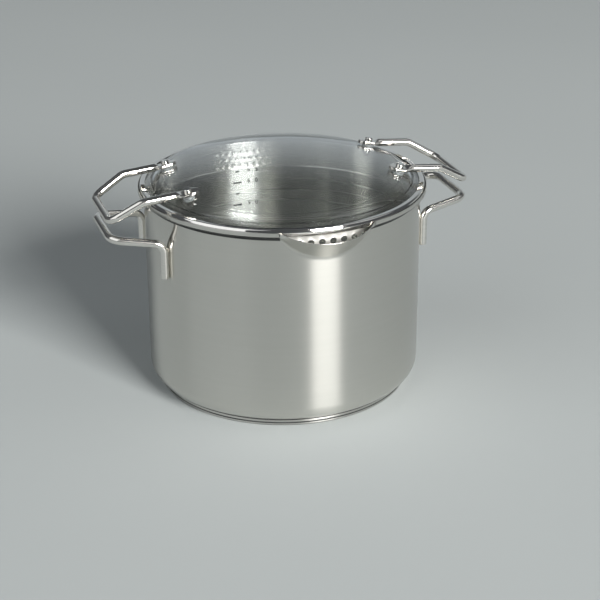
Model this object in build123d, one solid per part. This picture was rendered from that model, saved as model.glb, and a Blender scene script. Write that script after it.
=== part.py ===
"""Pasta pot with a strainer lid.

Frame: origin at the centre of the base's underside, +Z up, the pouring spout towards -Y and the
two pairs of handles along +X and -X. Millimetres.
"""

import os
from math import asin, atan2, cos, degrees, hypot, radians, sin, sqrt, tan

from build123d import *

# ---------------------------------------------------------------- pot shell
POT_INNER_RADIUS = 120.0
POT_WALL = 0.7
POT_HEIGHT = 182.3
CORNER_RADIUS = 16.0  # outside, between the wall and the floor
RIM_STEP = 4.9  # how far the rim band stands out of the wall
RIM_BAND_HEIGHT = 4.3  # from the lid's seat to the top of the band
RIM_BEND = 1.2  # tightest surface radius of the two rim bends

# ---------------------------------------------------------------- pouring spout
# An oblique cone that leans out of the wall. Its circles are given at two heights.
SPOUT_DEPTH = 25.3  # from the rim down to where the cone first leaves the wall
SPOUT_LEAN = 0.93  # run of the front of the spout for each millimetre of rise
SPOUT_START_RADIUS = 37.0
SPOUT_GROWTH_RATIO = 0.35  # how fast the cone's radius grows with height
SPOUT_CREASE = 4.0  # bend radius where the spout leaves the wall
LIP_REACH = 16.6  # from the wall to the tip of the lip
LIP_DROP = 7.3  # how far the tip lies under the pot's rim

# ---------------------------------------------------------------- encapsulated base
BASE_HEIGHT = 5.0  # from the table to the underside of the shell
BASE_INSET = 9.7  # side of the base inside the wall
BASE_SHEET = 0.6
BASE_EDGE = 2.0

# ---------------------------------------------------------------- pot handles
ROD = 7.0  # diameter of the handle rod
LEG_SPACING = 80.0  # between the two legs of a pot handle
LEG_LENGTH = 30.7  # from the foot to the corner over it
LEG_TOP_DROP = 29.3  # corner under the pot's rim
LEG_BEND = 9.0
SEAT_DEPTH = 0.4  # how far the welded face is pressed into the rod
GRIP_OUTSET = 39.3  # from the pot's wall to the middle of the grip
POT_GRIP_RISE = 6.0  # grip over the corner of the leg
POT_GRIP_WIDTH = 63.0
POT_GRIP_BEND = 13.0
ROD_END_CHAMFER = 0.5

# ---------------------------------------------------------------- lid rim, glass and collar
SEAT_GAP = 0.3  # lid rim over its seat
RIM_CLEARANCE = 0.6  # lid rim inside the pot's rim band
TURN_GAP = 0.3  # between the lid rim and what turns in it
GLASS_EDGE_GAP = 0.5
LID_RIM_SHEET = 0.5
LID_RIM_BEND = 1.5
LID_RIM_FOOT = 3.3  # width of the flange under the collar
LID_RIM_LIP = 5.0  # width of the lip over the glass
GLASS = 4.0
GLASS_CROWN_RADIUS = 442.0
SHOULDER_SLOPE = 45.0
SHOULDER_FOOT = 6.6  # from the edge of the glass to the foot of the shoulder
SHOULDER_RISE = 6.8  # from the flat edge of the glass to the top of the shoulder
SHOULDER_TOP_BEND = 10.0
SHOULDER_FOOT_BEND = 5.0
COLLAR_SHEET = 0.5
COLLAR_CLEARANCE = 0.7  # collar inside the pot's wall
COLLAR_DEPTH = 26.1  # from the flange under the glass to the lower edge
HEM = 1.5  # diameter of the rolled lower edge

# ---------------------------------------------------------------- strainer holes
COARSE_HOLE = 5.6
COARSE_PITCH = 9.45
COARSE_ROW_COUNTS = (8, 7)
COARSE_TOP_ROW = 9.1  # under the collar's flange
COARSE_ROW_STEP = 8.4
FINE_HOLE = 2.4
FINE_PITCH = 6.0
FINE_ROW_COUNTS = (10, 9, 10)
FINE_TOP_ROW = 9.3
FINE_ROW_STEP = 6.4

# ---------------------------------------------------------------- lid handles and their bolts
BOLT_INSET = 8.9  # from the top of the glass's shoulder in to a bolt
BOLT_SPACING = 74.8
BOLT_HOLE = 4.4
TAB = 3.0  # thickness of a flattened rod end
TAB_WIDTH = 11.0
TAB_NOSE = 9.5  # from the bolt to the rounded end
TAB_TAIL = 6.0  # from the bolt to the end of the flat
NECK = 4.6  # from the flat to the round rod
NECK_RISE = 1.0  # rod's middle over the middle of the flat
NECK_OVERLAP = 0.5  # how far the neck starts inside the flat
NECK_INSET = 0.2  # neck inside the sides of the flat
KNEE_OUTSET = 12.3  # from the pot's wall to the knee
KNEE_DROP = 2.7  # knee under the start of the rod
KNEE_BEND = 12.0
GRIP_GAP = 9.3  # free height between the two grips, one above the other
LID_GRIP_WIDTH = 64.0
LID_GRIP_BEND = 10.0
GLASS_HOLE = 7.0
PAD_RADIUS = 5.4
PAD = 1.0
BUSH_RADIUS = 4.8
BUSH_FLANGE = 1.2
BUSH_SLEEVE_GAP = 0.2
SCREW = 4.0
SCREW_CLEARANCE = 0.2
SCREW_END_GAP = 0.2  # between the screw's end and the bottom of the nut's thread
HEAD_RADIUS = 3.4
HEAD_HEIGHT = 3.0
HEAD_DOME = 0.9
WASHER_RADIUS = 4.4
WASHER = 0.8
NUT_FLATS = 7.0
NUT_HEIGHT = 3.2
NUT_DOME = 2.4
NUT_DOME_INSET = 0.3  # dome inside the nut's flats
NUT_DOME_FLAT = 0.2  # height of the dome's straight edge
THREAD_DEPTH = 3.4

# ---------------------------------------------------------------- worked out from the above
POT_RADIUS = POT_INNER_RADIUS + POT_WALL
BASE_RADIUS = POT_RADIUS - BASE_INSET
SPOUT_START_Z = POT_HEIGHT - SPOUT_DEPTH
LEG_TOP_Z = POT_HEIGHT - LEG_TOP_DROP
LEG_FOOT_Z = LEG_TOP_Z - LEG_LENGTH
POT_GRIP_Z = LEG_TOP_Z + POT_GRIP_RISE
SEAT_Z = POT_HEIGHT - RIM_BAND_HEIGHT
BAND_INNER_RADIUS = POT_INNER_RADIUS + RIM_STEP
LID_RIM_RADIUS = BAND_INNER_RADIUS - RIM_CLEARANCE
LID_RIM_Z = SEAT_Z + SEAT_GAP
COLLAR_RADIUS = POT_INNER_RADIUS - COLLAR_CLEARANCE
FLANGE_Z = LID_RIM_Z + LID_RIM_SHEET + TURN_GAP
FLANGE_RADIUS = LID_RIM_RADIUS - LID_RIM_SHEET - GLASS_EDGE_GAP
GLASS_Z = FLANGE_Z + COLLAR_SHEET
GLASS_EDGE_Z = GLASS_Z + GLASS
LID_TOP_Z = GLASS_EDGE_Z + TURN_GAP + LID_RIM_SHEET
SHOULDER_RUN = SHOULDER_RISE / tan(radians(SHOULDER_SLOPE))
SHOULDER_RADIUS = FLANGE_RADIUS - SHOULDER_FOOT - SHOULDER_RUN
CROWN_CENTRE_Z = GLASS_EDGE_Z + SHOULDER_RISE - sqrt(GLASS_CROWN_RADIUS**2 - SHOULDER_RADIUS**2)
CROWN_Z = CROWN_CENTRE_Z + GLASS_CROWN_RADIUS
BOLT_REACH = sqrt((SHOULDER_RADIUS - BOLT_INSET) ** 2 - (BOLT_SPACING / 2) ** 2)
KNEE_REACH = POT_RADIUS + KNEE_OUTSET
GRIP_REACH = POT_RADIUS + GRIP_OUTSET
LID_GRIP_Z = POT_GRIP_Z + ROD + GRIP_GAP
SPOUT_FOOT_Z = SPOUT_START_Z - 2 * SPOUT_CREASE  # the cone starts here, inside the wall
SPOUT_TOP_Z = POT_HEIGHT + 2 * RIM_STEP  # the cone ends here, over the rim
# The bush's flange lies flat against the hollow underside of the dome, so its middle stays this
# little sag away from it. Its height and the washer's are measured from the top of the glass.
SAG = BUSH_RADIUS**2 / (2 * (GLASS_CROWN_RADIUS - GLASS))
BUSH_Z = -(GLASS + SAG + BUSH_FLANGE)
WASHER_Z = BUSH_Z - WASHER
EVERYWHERE = 1000.0  # a length past every piece
DRILL = 24.0  # length of a drill through one sheet, one flattened end or the glass
TOLERANCE = 0.01
STANDING = (Align.CENTER, Align.CENTER, Align.MIN)
SIDES = {"left": -1, "right": 1}
ENDS = {"front": -1, "rear": 1}


def turned(outline):
    """The solid of an outline drawn on the XZ plane, turned about Z."""
    return revolve(make_face(Plane.XZ * outline), Axis.Z)


def disc(radius, bottom, top):
    """A round disc about Z between two heights."""
    return Pos(0, 0, bottom) * Cylinder(radius, top - bottom, align=STANDING)


def shell_outline(inset):
    """Half of the pot's outside (inset 0) or inside (inset POT_WALL), closed along the axis."""
    floor = BASE_HEIGHT + inset
    wall = POT_RADIUS - inset
    ledge = SEAT_Z - POT_WALL + inset
    band = POT_RADIUS + RIM_STEP - inset
    bends = [CORNER_RADIUS - inset, RIM_BEND + inset, RIM_BEND + POT_WALL - inset]
    path = FilletPolyline(
        (0, floor),
        (wall, floor),
        (wall, ledge),
        (band, ledge),
        (band, POT_HEIGHT),
        radius=bends,
    )
    return path + Polyline((band, POT_HEIGHT), (0, POT_HEIGHT), (0, floor))


def spout_radius(z):
    return SPOUT_START_RADIUS + SPOUT_GROWTH_RATIO * (z - SPOUT_START_Z)


def spout_circle(z, inset):
    """One level circle of the spout's cone."""
    front = POT_RADIUS + SPOUT_LEAN * (z - SPOUT_START_Z)
    radius = spout_radius(z)
    return Pos(0, radius - front, z) * Circle(radius - inset)


def spout_cone(inset):
    """The spout's cone, from inside the pot's wall to past its rim."""
    return loft([spout_circle(SPOUT_FOOT_Z, inset), spout_circle(SPOUT_TOP_Z, inset)])


def wall_with_spout(inset):
    """The straight wall and the spout as one body, with the crease between them rounded."""
    wall = disc(POT_RADIUS - inset, SPOUT_FOOT_Z - 2 * SPOUT_CREASE, SPOUT_TOP_Z)
    body = wall + spout_cone(inset)
    crease = [edge for edge in body.edges() if is_crease(edge, POT_RADIUS - inset)]
    return fillet(crease, SPOUT_CREASE + inset)


def is_crease(edge, wall_radius):
    """True for an edge that runs down the outside of the wall, where the spout leaves it."""
    points = [edge.position_at(t) for t in (0.05, 0.5, 0.95)]
    on_wall = all(abs(hypot(p.X, p.Y) - wall_radius) < TOLERANCE for p in points)
    low, high = min(p.Z for p in points), max(p.Z for p in points)
    return on_wall and high - low > TOLERANCE and high > SPOUT_START_Z


def lip_cut():
    """What lies above the spout's lip: a slab on the plane from the rim's top to the lip's tip."""
    rim_y = -sqrt((POT_RADIUS + RIM_STEP) ** 2 - chord_at_rim() ** 2)
    tip_y = -(POT_RADIUS + LIP_REACH)
    slope = degrees(atan2(LIP_DROP, rim_y - tip_y))
    slab = Box(EVERYWHERE, EVERYWHERE, EVERYWHERE, align=(Align.CENTER, Align.MAX, Align.MIN))
    return Pos(0, rim_y, POT_HEIGHT) * Rot(slope, 0, 0) * slab


def chord_at_rim():
    """Half the width of the spout where it meets the outside of the rim band at the rim's height."""
    band = POT_RADIUS + RIM_STEP
    radius = spout_radius(POT_HEIGHT)
    centre = POT_RADIUS + SPOUT_LEAN * (POT_HEIGHT - SPOUT_START_Z) - radius
    along = (band**2 - radius**2 + centre**2) / (2 * centre)
    return sqrt(band**2 - along**2)


def below_rim(body):
    """The body cut off level with the pot's rim."""
    return body - disc(EVERYWHERE, POT_HEIGHT, EVERYWHERE)


def pot_body():
    outside = turned(shell_outline(0)) + below_rim(wall_with_spout(0))
    inside = turned(shell_outline(POT_WALL)) + wall_with_spout(POT_WALL)
    return outside - inside - lip_cut()


def cap_top():
    """Height at which the base cap's wall meets the shell's rounded corner."""
    run = BASE_RADIUS - BASE_SHEET - (POT_RADIUS - CORNER_RADIUS)
    return BASE_HEIGHT + CORNER_RADIUS - sqrt(CORNER_RADIUS**2 - run**2)


def base_cap():
    """The pressed steel cup that closes the base."""
    cup = disc(BASE_RADIUS, 0, cap_top())
    cup = fillet(cup.edges().sort_by(Axis.Z)[0], BASE_EDGE)
    room = disc(BASE_RADIUS - BASE_SHEET, BASE_SHEET, EVERYWHERE)
    room = fillet(room.edges().sort_by(Axis.Z)[0], BASE_EDGE - BASE_SHEET)
    return cup - room


def base_core():
    """The aluminium disc, pressed into the cap and against the shell."""
    core = disc(BASE_RADIUS - BASE_SHEET, BASE_SHEET, cap_top())
    core = fillet(core.edges().sort_by(Axis.Z)[0], BASE_EDGE - BASE_SHEET)
    return core - turned(shell_outline(0))


def rod_along(path):
    """A round rod along a path of straight runs and arcs."""
    section = Plane(origin=path @ 0, z_dir=path % 0) * Circle(ROD / 2)
    return sweep(section, path)


def pot_handle():
    """The +X handle: two legs on the wall and a loop that rises to the grip."""
    half = LEG_SPACING / 2
    leg = sqrt((POT_RADIUS + ROD / 2 - SEAT_DEPTH) ** 2 - half**2)
    grip = POT_GRIP_WIDTH / 2
    bends = [LEG_BEND, POT_GRIP_BEND, POT_GRIP_BEND, LEG_BEND]
    path = FilletPolyline(
        (leg, -half, LEG_FOOT_Z),
        (leg, -half, LEG_TOP_Z),
        (GRIP_REACH, -grip, POT_GRIP_Z),
        (GRIP_REACH, grip, POT_GRIP_Z),
        (leg, half, LEG_TOP_Z),
        (leg, half, LEG_FOOT_Z),
        radius=bends,
    )
    rod = rod_along(path)
    feet = rod.edges().group_by(Axis.Z)[0]
    rod = chamfer(feet, ROD_END_CHAMFER)
    return rod - Cylinder(POT_RADIUS, EVERYWHERE)


def lid_rim():
    """The rolled channel that holds the glass and the collar's flange."""
    outer = LID_RIM_RADIUS
    inner = outer - LID_RIM_SHEET
    bends = [LID_RIM_SHEET, LID_RIM_BEND, 0, 0, LID_RIM_BEND - LID_RIM_SHEET, 0, 0]
    path = FilletPolyline(
        (outer - LID_RIM_FOOT, LID_RIM_Z),
        (outer, LID_RIM_Z),
        (outer, LID_TOP_Z),
        (outer - LID_RIM_LIP, LID_TOP_Z),
        (outer - LID_RIM_LIP, LID_TOP_Z - LID_RIM_SHEET),
        (inner, LID_TOP_Z - LID_RIM_SHEET),
        (inner, LID_RIM_Z + LID_RIM_SHEET),
        (outer - LID_RIM_FOOT, LID_RIM_Z + LID_RIM_SHEET),
        (outer - LID_RIM_FOOT, LID_RIM_Z),
        radius=[0] + bends,
    )
    return turned(path)


def crown_height(radius, depth=0.0):
    """Height of the glass's domed top, or of the surface that lies a depth under it."""
    return CROWN_CENTRE_Z + sqrt((GLASS_CROWN_RADIUS - depth) ** 2 - radius**2)


def shoulder_corners(depth):
    """Foot and top of the shoulder's straight line, before its bends, a depth under the top face."""
    foot_r = FLANGE_RADIUS - SHOULDER_FOOT - depth * tan(radians(SHOULDER_SLOPE) / 2)
    foot_z = GLASS_EDGE_Z - depth
    slope = tan(radians(SHOULDER_SLOPE))
    reach = foot_z + slope * foot_r - CROWN_CENTRE_Z  # from the centre of the dome up to the line
    root = sqrt((GLASS_CROWN_RADIUS - depth) ** 2 * (1 + slope**2) - reach**2)
    top_r = (reach * slope - root) / (1 + slope**2)
    return (foot_r, foot_z), (top_r, crown_height(top_r, depth))


def glass_face(depth):
    """The dome, shoulder and flat edge of one face of the glass."""
    foot, top = shoulder_corners(depth)
    half_angle = asin(top[0] / (GLASS_CROWN_RADIUS - depth)) / 2
    middle_r = (GLASS_CROWN_RADIUS - depth) * sin(half_angle)
    dome = ThreePointArc((0, CROWN_Z - depth), (middle_r, crown_height(middle_r, depth)), top)
    return dome + Line(top, foot) + Line(foot, (FLANGE_RADIUS, foot[1]))


def lid_glass():
    upper = glass_face(0)
    lower = glass_face(GLASS)
    edge = Line((FLANGE_RADIUS, GLASS_EDGE_Z), (FLANGE_RADIUS, GLASS_Z))
    axis = Line((0, CROWN_Z), (0, CROWN_Z - GLASS))
    section = make_face(upper + edge + lower + axis)
    for depth, grow in ((0, 0), (GLASS, GLASS)):
        foot, top = shoulder_corners(depth)
        section = fillet(nearest_vertex(section, top), SHOULDER_TOP_BEND - grow)
        section = fillet(nearest_vertex(section, foot), SHOULDER_FOOT_BEND + grow)
    glass = revolve(Plane.XZ * section, Axis.Z)
    for frame in bolt_frames().values():
        glass -= frame * Cylinder(GLASS_HOLE / 2, DRILL)
    return glass


def nearest_vertex(section, point):
    return section.vertices().sort_by_distance((point[0], point[1], 0))[0]


def strainer_collar():
    """The flanged ring with a rolled hem, drilled coarse at the spout and fine at the back."""
    outer = COLLAR_RADIUS
    inner = outer - COLLAR_SHEET
    low = GLASS_Z - COLLAR_DEPTH
    section = Polyline(
        (inner, low),
        (outer, low),
        (outer, FLANGE_Z),
        (FLANGE_RADIUS, FLANGE_Z),
        (FLANGE_RADIUS, GLASS_Z),
        (inner, GLASS_Z),
        (inner, low),
    )
    hem = Pos(outer - HEM / 2, low + HEM / 2) * Circle(HEM / 2)
    ring = turned(section) + revolve(Plane.XZ * hem, Axis.Z)
    coarse_z, fine_z = GLASS_Z - COARSE_TOP_ROW, GLASS_Z - FINE_TOP_ROW
    coarse = hole_rows(COARSE_ROW_COUNTS, COARSE_HOLE, COARSE_PITCH, coarse_z, COARSE_ROW_STEP)
    fine = hole_rows(FINE_ROW_COUNTS, FINE_HOLE, FINE_PITCH, fine_z, FINE_ROW_STEP)
    return ring - coarse - [Rot(0, 0, 180) * hole for hole in fine]


def hole_rows(counts, diameter, pitch, top_z, row_step):
    """Radial drills through the collar's -Y side, in level rows whose middles line up."""
    step = degrees(pitch / COLLAR_RADIUS)
    drill = Pos(0, -COLLAR_RADIUS, 0) * Rot(90, 0, 0) * Cylinder(diameter / 2, DRILL)
    return [
        Rot(0, 0, (k - (count - 1) / 2) * step) * Pos(0, 0, top_z - row * row_step) * drill
        for row, count in enumerate(counts)
        for k in range(count)
    ]


def bolt_frames():
    """A frame at each bolt: origin on the glass, Z out along its normal, X outwards along the handle."""
    reach = hypot(BOLT_REACH, BOLT_SPACING / 2)
    tilt = asin(reach / GLASS_CROWN_RADIUS)
    frames = {}
    for side, x_sign in SIDES.items():
        for end, y_sign in ENDS.items():
            x, y = x_sign * BOLT_REACH, y_sign * BOLT_SPACING / 2
            normal = Vector(sin(tilt) * x / reach, sin(tilt) * y / reach, cos(tilt))
            along = Vector(x_sign, 0, 0) - normal * (x_sign * normal.X)
            frames[f"{end}_{side}"] = Location(Plane((x, y, crown_height(reach)), along, normal))
    return frames


def rod_start(frame):
    """Where the round rod begins, past the flattened end and its neck."""
    return (frame * Pos(TAB_TAIL + NECK, 0, PAD + TAB / 2 + NECK_RISE)).position


def flattened_end(frame, direction):
    """A flattened, drilled rod end and the neck that joins it to the round rod."""
    length = TAB_NOSE + TAB_TAIL
    flat = extrude(Pos((TAB_TAIL - TAB_NOSE) / 2, 0) * Rectangle(length, TAB_WIDTH), TAB)
    nose = flat.edges().filter_by(Axis.Z).group_by(Axis.X)[0]
    flat = fillet(nose, TAB_WIDTH / 2 - TOLERANCE)
    flat = frame * Pos(0, 0, PAD) * flat
    start = frame * Pos(TAB_TAIL - NECK_OVERLAP, 0, PAD + TAB / 2)
    across, along = Plane(start).y_dir, Plane(start).x_dir
    oval = Plane(start.position, across, along) * Ellipse(TAB_WIDTH / 2 - NECK_INSET, TAB / 2)
    round_end = Plane(rod_start(frame), across, direction) * Circle(ROD / 2)
    return flat + loft([oval, round_end])


def lid_handle():
    """The +X handle: flattened ends on the glass, a knee past the rim and a grip under it."""
    frames = bolt_frames()
    front, rear = frames["front_right"], frames["rear_right"]
    first, last = rod_start(front), rod_start(rear)
    knee_y, grip_y, knee_z = last.Y, LID_GRIP_WIDTH / 2, last.Z - KNEE_DROP
    path = FilletPolyline(
        (first.X, first.Y, first.Z),
        (KNEE_REACH, -knee_y, knee_z),
        (GRIP_REACH, -grip_y, LID_GRIP_Z),
        (GRIP_REACH, grip_y, LID_GRIP_Z),
        (KNEE_REACH, knee_y, knee_z),
        (last.X, last.Y, last.Z),
        radius=[KNEE_BEND, LID_GRIP_BEND, LID_GRIP_BEND, KNEE_BEND],
    )
    handle = rod_along(path) + flattened_end(front, path % 0) + flattened_end(rear, -(path % 1))
    for frame in (front, rear):
        handle -= frame * Cylinder(BOLT_HOLE / 2, DRILL)
    return handle


def screw_hole():
    """The hole in the pads and washers, about the screw's axis."""
    return Cylinder(SCREW / 2 + SCREW_CLEARANCE, DRILL)


def upper_gasket():
    return disc(PAD_RADIUS, 0, PAD) - screw_hole()


def lower_gasket():
    """A top-hat bush: a sleeve in the glass's hole and a flange under it."""
    sleeve = disc(GLASS_HOLE / 2 - BUSH_SLEEVE_GAP, BUSH_Z, 0)
    flange = disc(BUSH_RADIUS, BUSH_Z, -(GLASS + SAG))
    return sleeve + flange - screw_hole()


def washer():
    return disc(WASHER_RADIUS, WASHER_Z, BUSH_Z) - screw_hole()


def screw():
    """A domed cheese-head screw whose shank ends inside the cap nut."""
    seat = PAD + TAB
    head = disc(HEAD_RADIUS, seat, seat + HEAD_HEIGHT)
    head = fillet(head.edges().sort_by(Axis.Z)[-1], HEAD_DOME)
    return head + disc(SCREW / 2, WASHER_Z - THREAD_DEPTH + SCREW_END_GAP, seat)


def nut():
    """A hexagonal cap nut with a blind thread."""
    hexagon = extrude(RegularPolygon(NUT_FLATS / 2, 6, major_radius=False), -NUT_HEIGHT)
    cap = disc(NUT_FLATS / 2 - NUT_DOME_INSET, -(NUT_HEIGHT + NUT_DOME), -NUT_HEIGHT)
    cap = fillet(cap.edges().sort_by(Axis.Z)[0], NUT_DOME - NUT_DOME_FLAT)
    return Pos(0, 0, WASHER_Z) * (hexagon + cap - disc(SCREW / 2, -THREAD_DEPTH, NUT_HEIGHT))


def at_each_bolt(piece):
    """Copies of a fastener at the four bolts, as one group of separate solids."""
    return Compound(children=[frame * piece for frame in bolt_frames().values()])


def build():
    right_pot_handle = pot_handle()
    right_lid_handle = lid_handle()
    half_turn = Rot(0, 0, 180)
    nodes = {
        "pot_body": pot_body(),
        "base_core": base_core(),
        "base_cap": base_cap(),
        "pot_handle_right": right_pot_handle,
        "pot_handle_left": half_turn * right_pot_handle,
        "lid_rim": lid_rim(),
        "strainer_collar": strainer_collar(),
        "lid_glass": lid_glass(),
        "lid_handle_right": right_lid_handle,
        "lid_handle_left": half_turn * right_lid_handle,
        "lid_screws": at_each_bolt(screw()),
        "lid_washers": at_each_bolt(washer()),
        "lid_nuts": at_each_bolt(nut()),
    }
    for place, frame in bolt_frames().items():
        nodes[f"upper_gasket_{place}"] = frame * upper_gasket()
        nodes[f"lower_gasket_{place}"] = frame * lower_gasket()
    return nodes


os.makedirs("parts", exist_ok=True)
for name, shape in build().items():
    export_step(shape, f"parts/{name}.step")
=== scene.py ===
"""Looks of the pasta pot with a strainer lid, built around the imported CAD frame.

Shapes are worked out in millimetres and written to the meshes in metres. Angles called phi are
measured round the pot's axis from -Y, where the spout is, towards +X.
"""

import math

import bmesh
import bpy
from mathutils import Matrix, Vector
from mathutils.geometry import delaunay_2d_cdt

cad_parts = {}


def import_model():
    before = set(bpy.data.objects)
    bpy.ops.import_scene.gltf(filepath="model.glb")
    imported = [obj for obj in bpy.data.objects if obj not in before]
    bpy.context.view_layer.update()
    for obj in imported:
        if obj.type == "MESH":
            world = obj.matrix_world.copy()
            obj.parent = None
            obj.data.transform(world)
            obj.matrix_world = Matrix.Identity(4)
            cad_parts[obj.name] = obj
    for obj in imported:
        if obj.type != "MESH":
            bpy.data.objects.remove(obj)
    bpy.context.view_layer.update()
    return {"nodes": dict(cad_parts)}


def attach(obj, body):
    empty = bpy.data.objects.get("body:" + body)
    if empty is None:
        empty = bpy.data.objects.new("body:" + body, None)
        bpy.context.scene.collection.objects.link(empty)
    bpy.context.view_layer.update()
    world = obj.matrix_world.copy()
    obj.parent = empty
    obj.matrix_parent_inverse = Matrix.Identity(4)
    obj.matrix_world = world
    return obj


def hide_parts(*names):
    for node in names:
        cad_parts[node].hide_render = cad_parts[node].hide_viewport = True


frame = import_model()

MM = 0.001

# ---------------------------------------- sizes of the pot, in millimetres
POT_INNER = 120.0
WALL = 0.7
POT_HEIGHT = 182.3
CORNER = 16.0
RIM_STEP = 4.9
BAND_HEIGHT = 4.3
RIM_BEND = 1.2
SHADOW_BAND = 3.8
POT = POT_INNER + WALL
SEAT_Z = POT_HEIGHT - BAND_HEIGHT
BAND = POT + RIM_STEP

SPOUT_DEPTH = 25.3
SPOUT_LEAN = 0.93
SPOUT_RADIUS = 37.0
SPOUT_GROWTH = 0.35
SPOUT_BLEND = 2.0
SPOUT_HALF_DEGREES = 18.8
LIP_REACH = 16.6
LIP_DROP = 7.3
SPOUT_Z = POT_HEIGHT - SPOUT_DEPTH

BASE_HEIGHT = 5.0
BASE_INSET = 9.7
BASE_SHEET = 0.6
BASE_EDGE = 2.0
SHEET_EDGE = 0.15
BASE_RADIUS = POT - BASE_INSET
# Lower and upper end of each line of painted shade and painted dark reflection round the base.
BASE_PAINTED_SHADE_LINES = ((0.0, 0.9), (2.4, 3.6), (5.3, 7.0))

ROD = 7.0
GRIP_X = 160.0
POT_LEG_Y = 40.0
POT_GRIP_Y = 31.5
POT_FOOT_Z = 122.3
POT_KNEE_Z = 153.0
POT_GRIP_Z = 159.0
WELD_DEPTH = 0.4

# ---------------------------------------- sizes of the lid, in millimetres
RIM_GAP = 0.6
RIM_SHEET = 0.5
RIM_LIP = 5.0
RIM_FOOT = 3.3
RIM_TAPER = 0.85
SEAT_GAP = 0.3
FLANGE_GAP = 0.5
RIM_OUTER = POT_INNER + RIM_STEP - RIM_GAP
RIM_FOOT_Z = SEAT_Z + SEAT_GAP
FLANGE_Z = RIM_FOOT_Z + RIM_SHEET + SEAT_GAP
FLANGE = RIM_OUTER - RIM_SHEET - FLANGE_GAP

COLLAR_GAP = 0.7
COLLAR_SHEET = 0.5
COLLAR_DROP = 26.1
COLLAR_HEM = 0.75
COLLAR_BEND = 1.2
COARSE_HOLE = 5.6
FINE_HOLE = 2.4
COLLAR = POT_INNER - COLLAR_GAP
GLASS_Z = FLANGE_Z + COLLAR_SHEET
COLLAR_LOW = GLASS_Z - COLLAR_DROP
COLLAR_DEGREE = math.radians(1) * COLLAR

GLASS = 4.0
GLASS_EDGE = 0.4
GLASS_FLAT = 6.6
GLASS_HOLE = 7.0
SHOULDER_RISE = 6.8
CROWN_RADIUS = 442.0
GLASS_TOP = GLASS_Z + GLASS
LID_TOP = GLASS_TOP + SEAT_GAP + RIM_SHEET
SHOULDER = FLANGE - GLASS_FLAT - SHOULDER_RISE
CROWN_CENTRE = GLASS_TOP + SHOULDER_RISE - math.sqrt(CROWN_RADIUS**2 - SHOULDER**2)

BOLT_INSET = 8.9
BOLT_Y = 37.4
BOLT_X = math.sqrt((SHOULDER - BOLT_INSET) ** 2 - BOLT_Y**2)
PAD = 1.0
TAB = 3.0
TAB_WIDTH = 11.0
TAB_NOSE = 9.5
TAB_TAIL = 6.0
TAB_SQUARENESS = 5.0
NECK = 4.6
NECK_RISE = 1.0
LID_KNEE_X = 133.0
LID_KNEE_DROP = 2.7
LID_GRIP_Y = 32.0
GRIP_GAP = 9.3
LID_GRIP_Z = POT_GRIP_Z + ROD + GRIP_GAP

# ---------------------------------------- litre scale, in millimetres
LITRE = 22.1
LITRE_ZERO = 7.2
SCALE_PHI = 184.9
ETCH = 0.05
ETCH_ROOT = -0.2
# Start, end and half the thickness of the marks.
FULL_MARK = (0.0, 8.4, 0.75)
HALF_MARK = (2.6, 6.4, 0.7)
NUMBER_SIZE = 6.0
NUMBER_START = 14.2
NUMBER_LIFT = 1.0


# ---------------------------------------- mesh helpers
def add_object(name, verts, faces, materials, body, replaces=(), sharp=40.0, uvs=None):
    """A smooth-shaded mesh piece from vertices in millimetres, with one UV for each vertex if given."""
    mesh = bpy.data.meshes.new(name)
    mesh.from_pydata([(x * MM, y * MM, z * MM) for x, y, z in verts], [], faces)
    if uvs:
        lay_uvs(mesh, uvs)
    mesh.validate()
    join_doubles(mesh)
    mesh.shade_smooth()
    if sharp:
        mesh.set_sharp_from_angle(angle=math.radians(sharp))
    for material in materials:
        mesh.materials.append(material)
    piece = bpy.data.objects.new(name, mesh)
    bpy.context.scene.collection.objects.link(piece)
    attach(piece, body)
    if replaces:
        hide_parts(*replaces)
    return piece


def lay_uvs(mesh, uvs):
    """Writes a rod's UVs, carrying V past 1 on the faces that close the ring."""
    layer = mesh.uv_layers.new(name="along")
    for polygon in mesh.polygons:
        closing = len(polygon.vertices) == 4 and max(uvs[i][1] for i in polygon.vertices) > 0.6
        for loop, i in zip(polygon.loop_indices, polygon.vertices):
            u, v = uvs[i]
            layer.data[loop].uv = (u, v + 1 if closing and v < 0.3 else v)


def join_doubles(mesh):
    """Joins vertices in one place and turns every face outward."""
    tidy = bmesh.new()
    tidy.from_mesh(mesh)
    bmesh.ops.remove_doubles(tidy, verts=tidy.verts, dist=1e-7)
    bmesh.ops.recalc_face_normals(tidy, faces=tidy.faces)
    tidy.to_mesh(mesh)
    tidy.free()


def rounded(points, radii, step=9.0, support=0.4):
    """A polyline with its corners turned into arcs, with a support point beside each arc."""
    points = [Vector(p) for p in points]
    out = [points[0]]
    for before, corner, after, radius in zip(points, points[1:], points[2:], radii):
        back, ahead = (before - corner).normalized(), (after - corner).normalized()
        half = back.angle(ahead) / 2
        turn = math.pi - 2 * half
        run = radius / math.tan(half)
        start, end = corner + back * run, corner + ahead * run
        centre = corner + (back + ahead).normalized() * (radius / math.sin(half))
        count = max(3, math.ceil(math.degrees(turn) / step))
        if (before - corner).length > run + 2 * support:
            out.append(start + back * support)
        a, b = start - centre, end - centre
        for i in range(count + 1):
            t = i / count
            out.append(centre + (a * math.sin((1 - t) * turn) + b * math.sin(t * turn)) / math.sin(turn))
        if (after - corner).length > run + 2 * support:
            out.append(end + ahead * support)
    out.append(points[-1])
    return out


def subdivided(path, longest):
    """The same path with no run between two points longer than given."""
    out = []
    for a, b in zip(path, path[1:]):
        pieces = max(1, math.ceil((b - a).length / longest))
        out += [a + (b - a) * (i / pieces) for i in range(pieces)]
    return out + [path[-1]]


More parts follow.
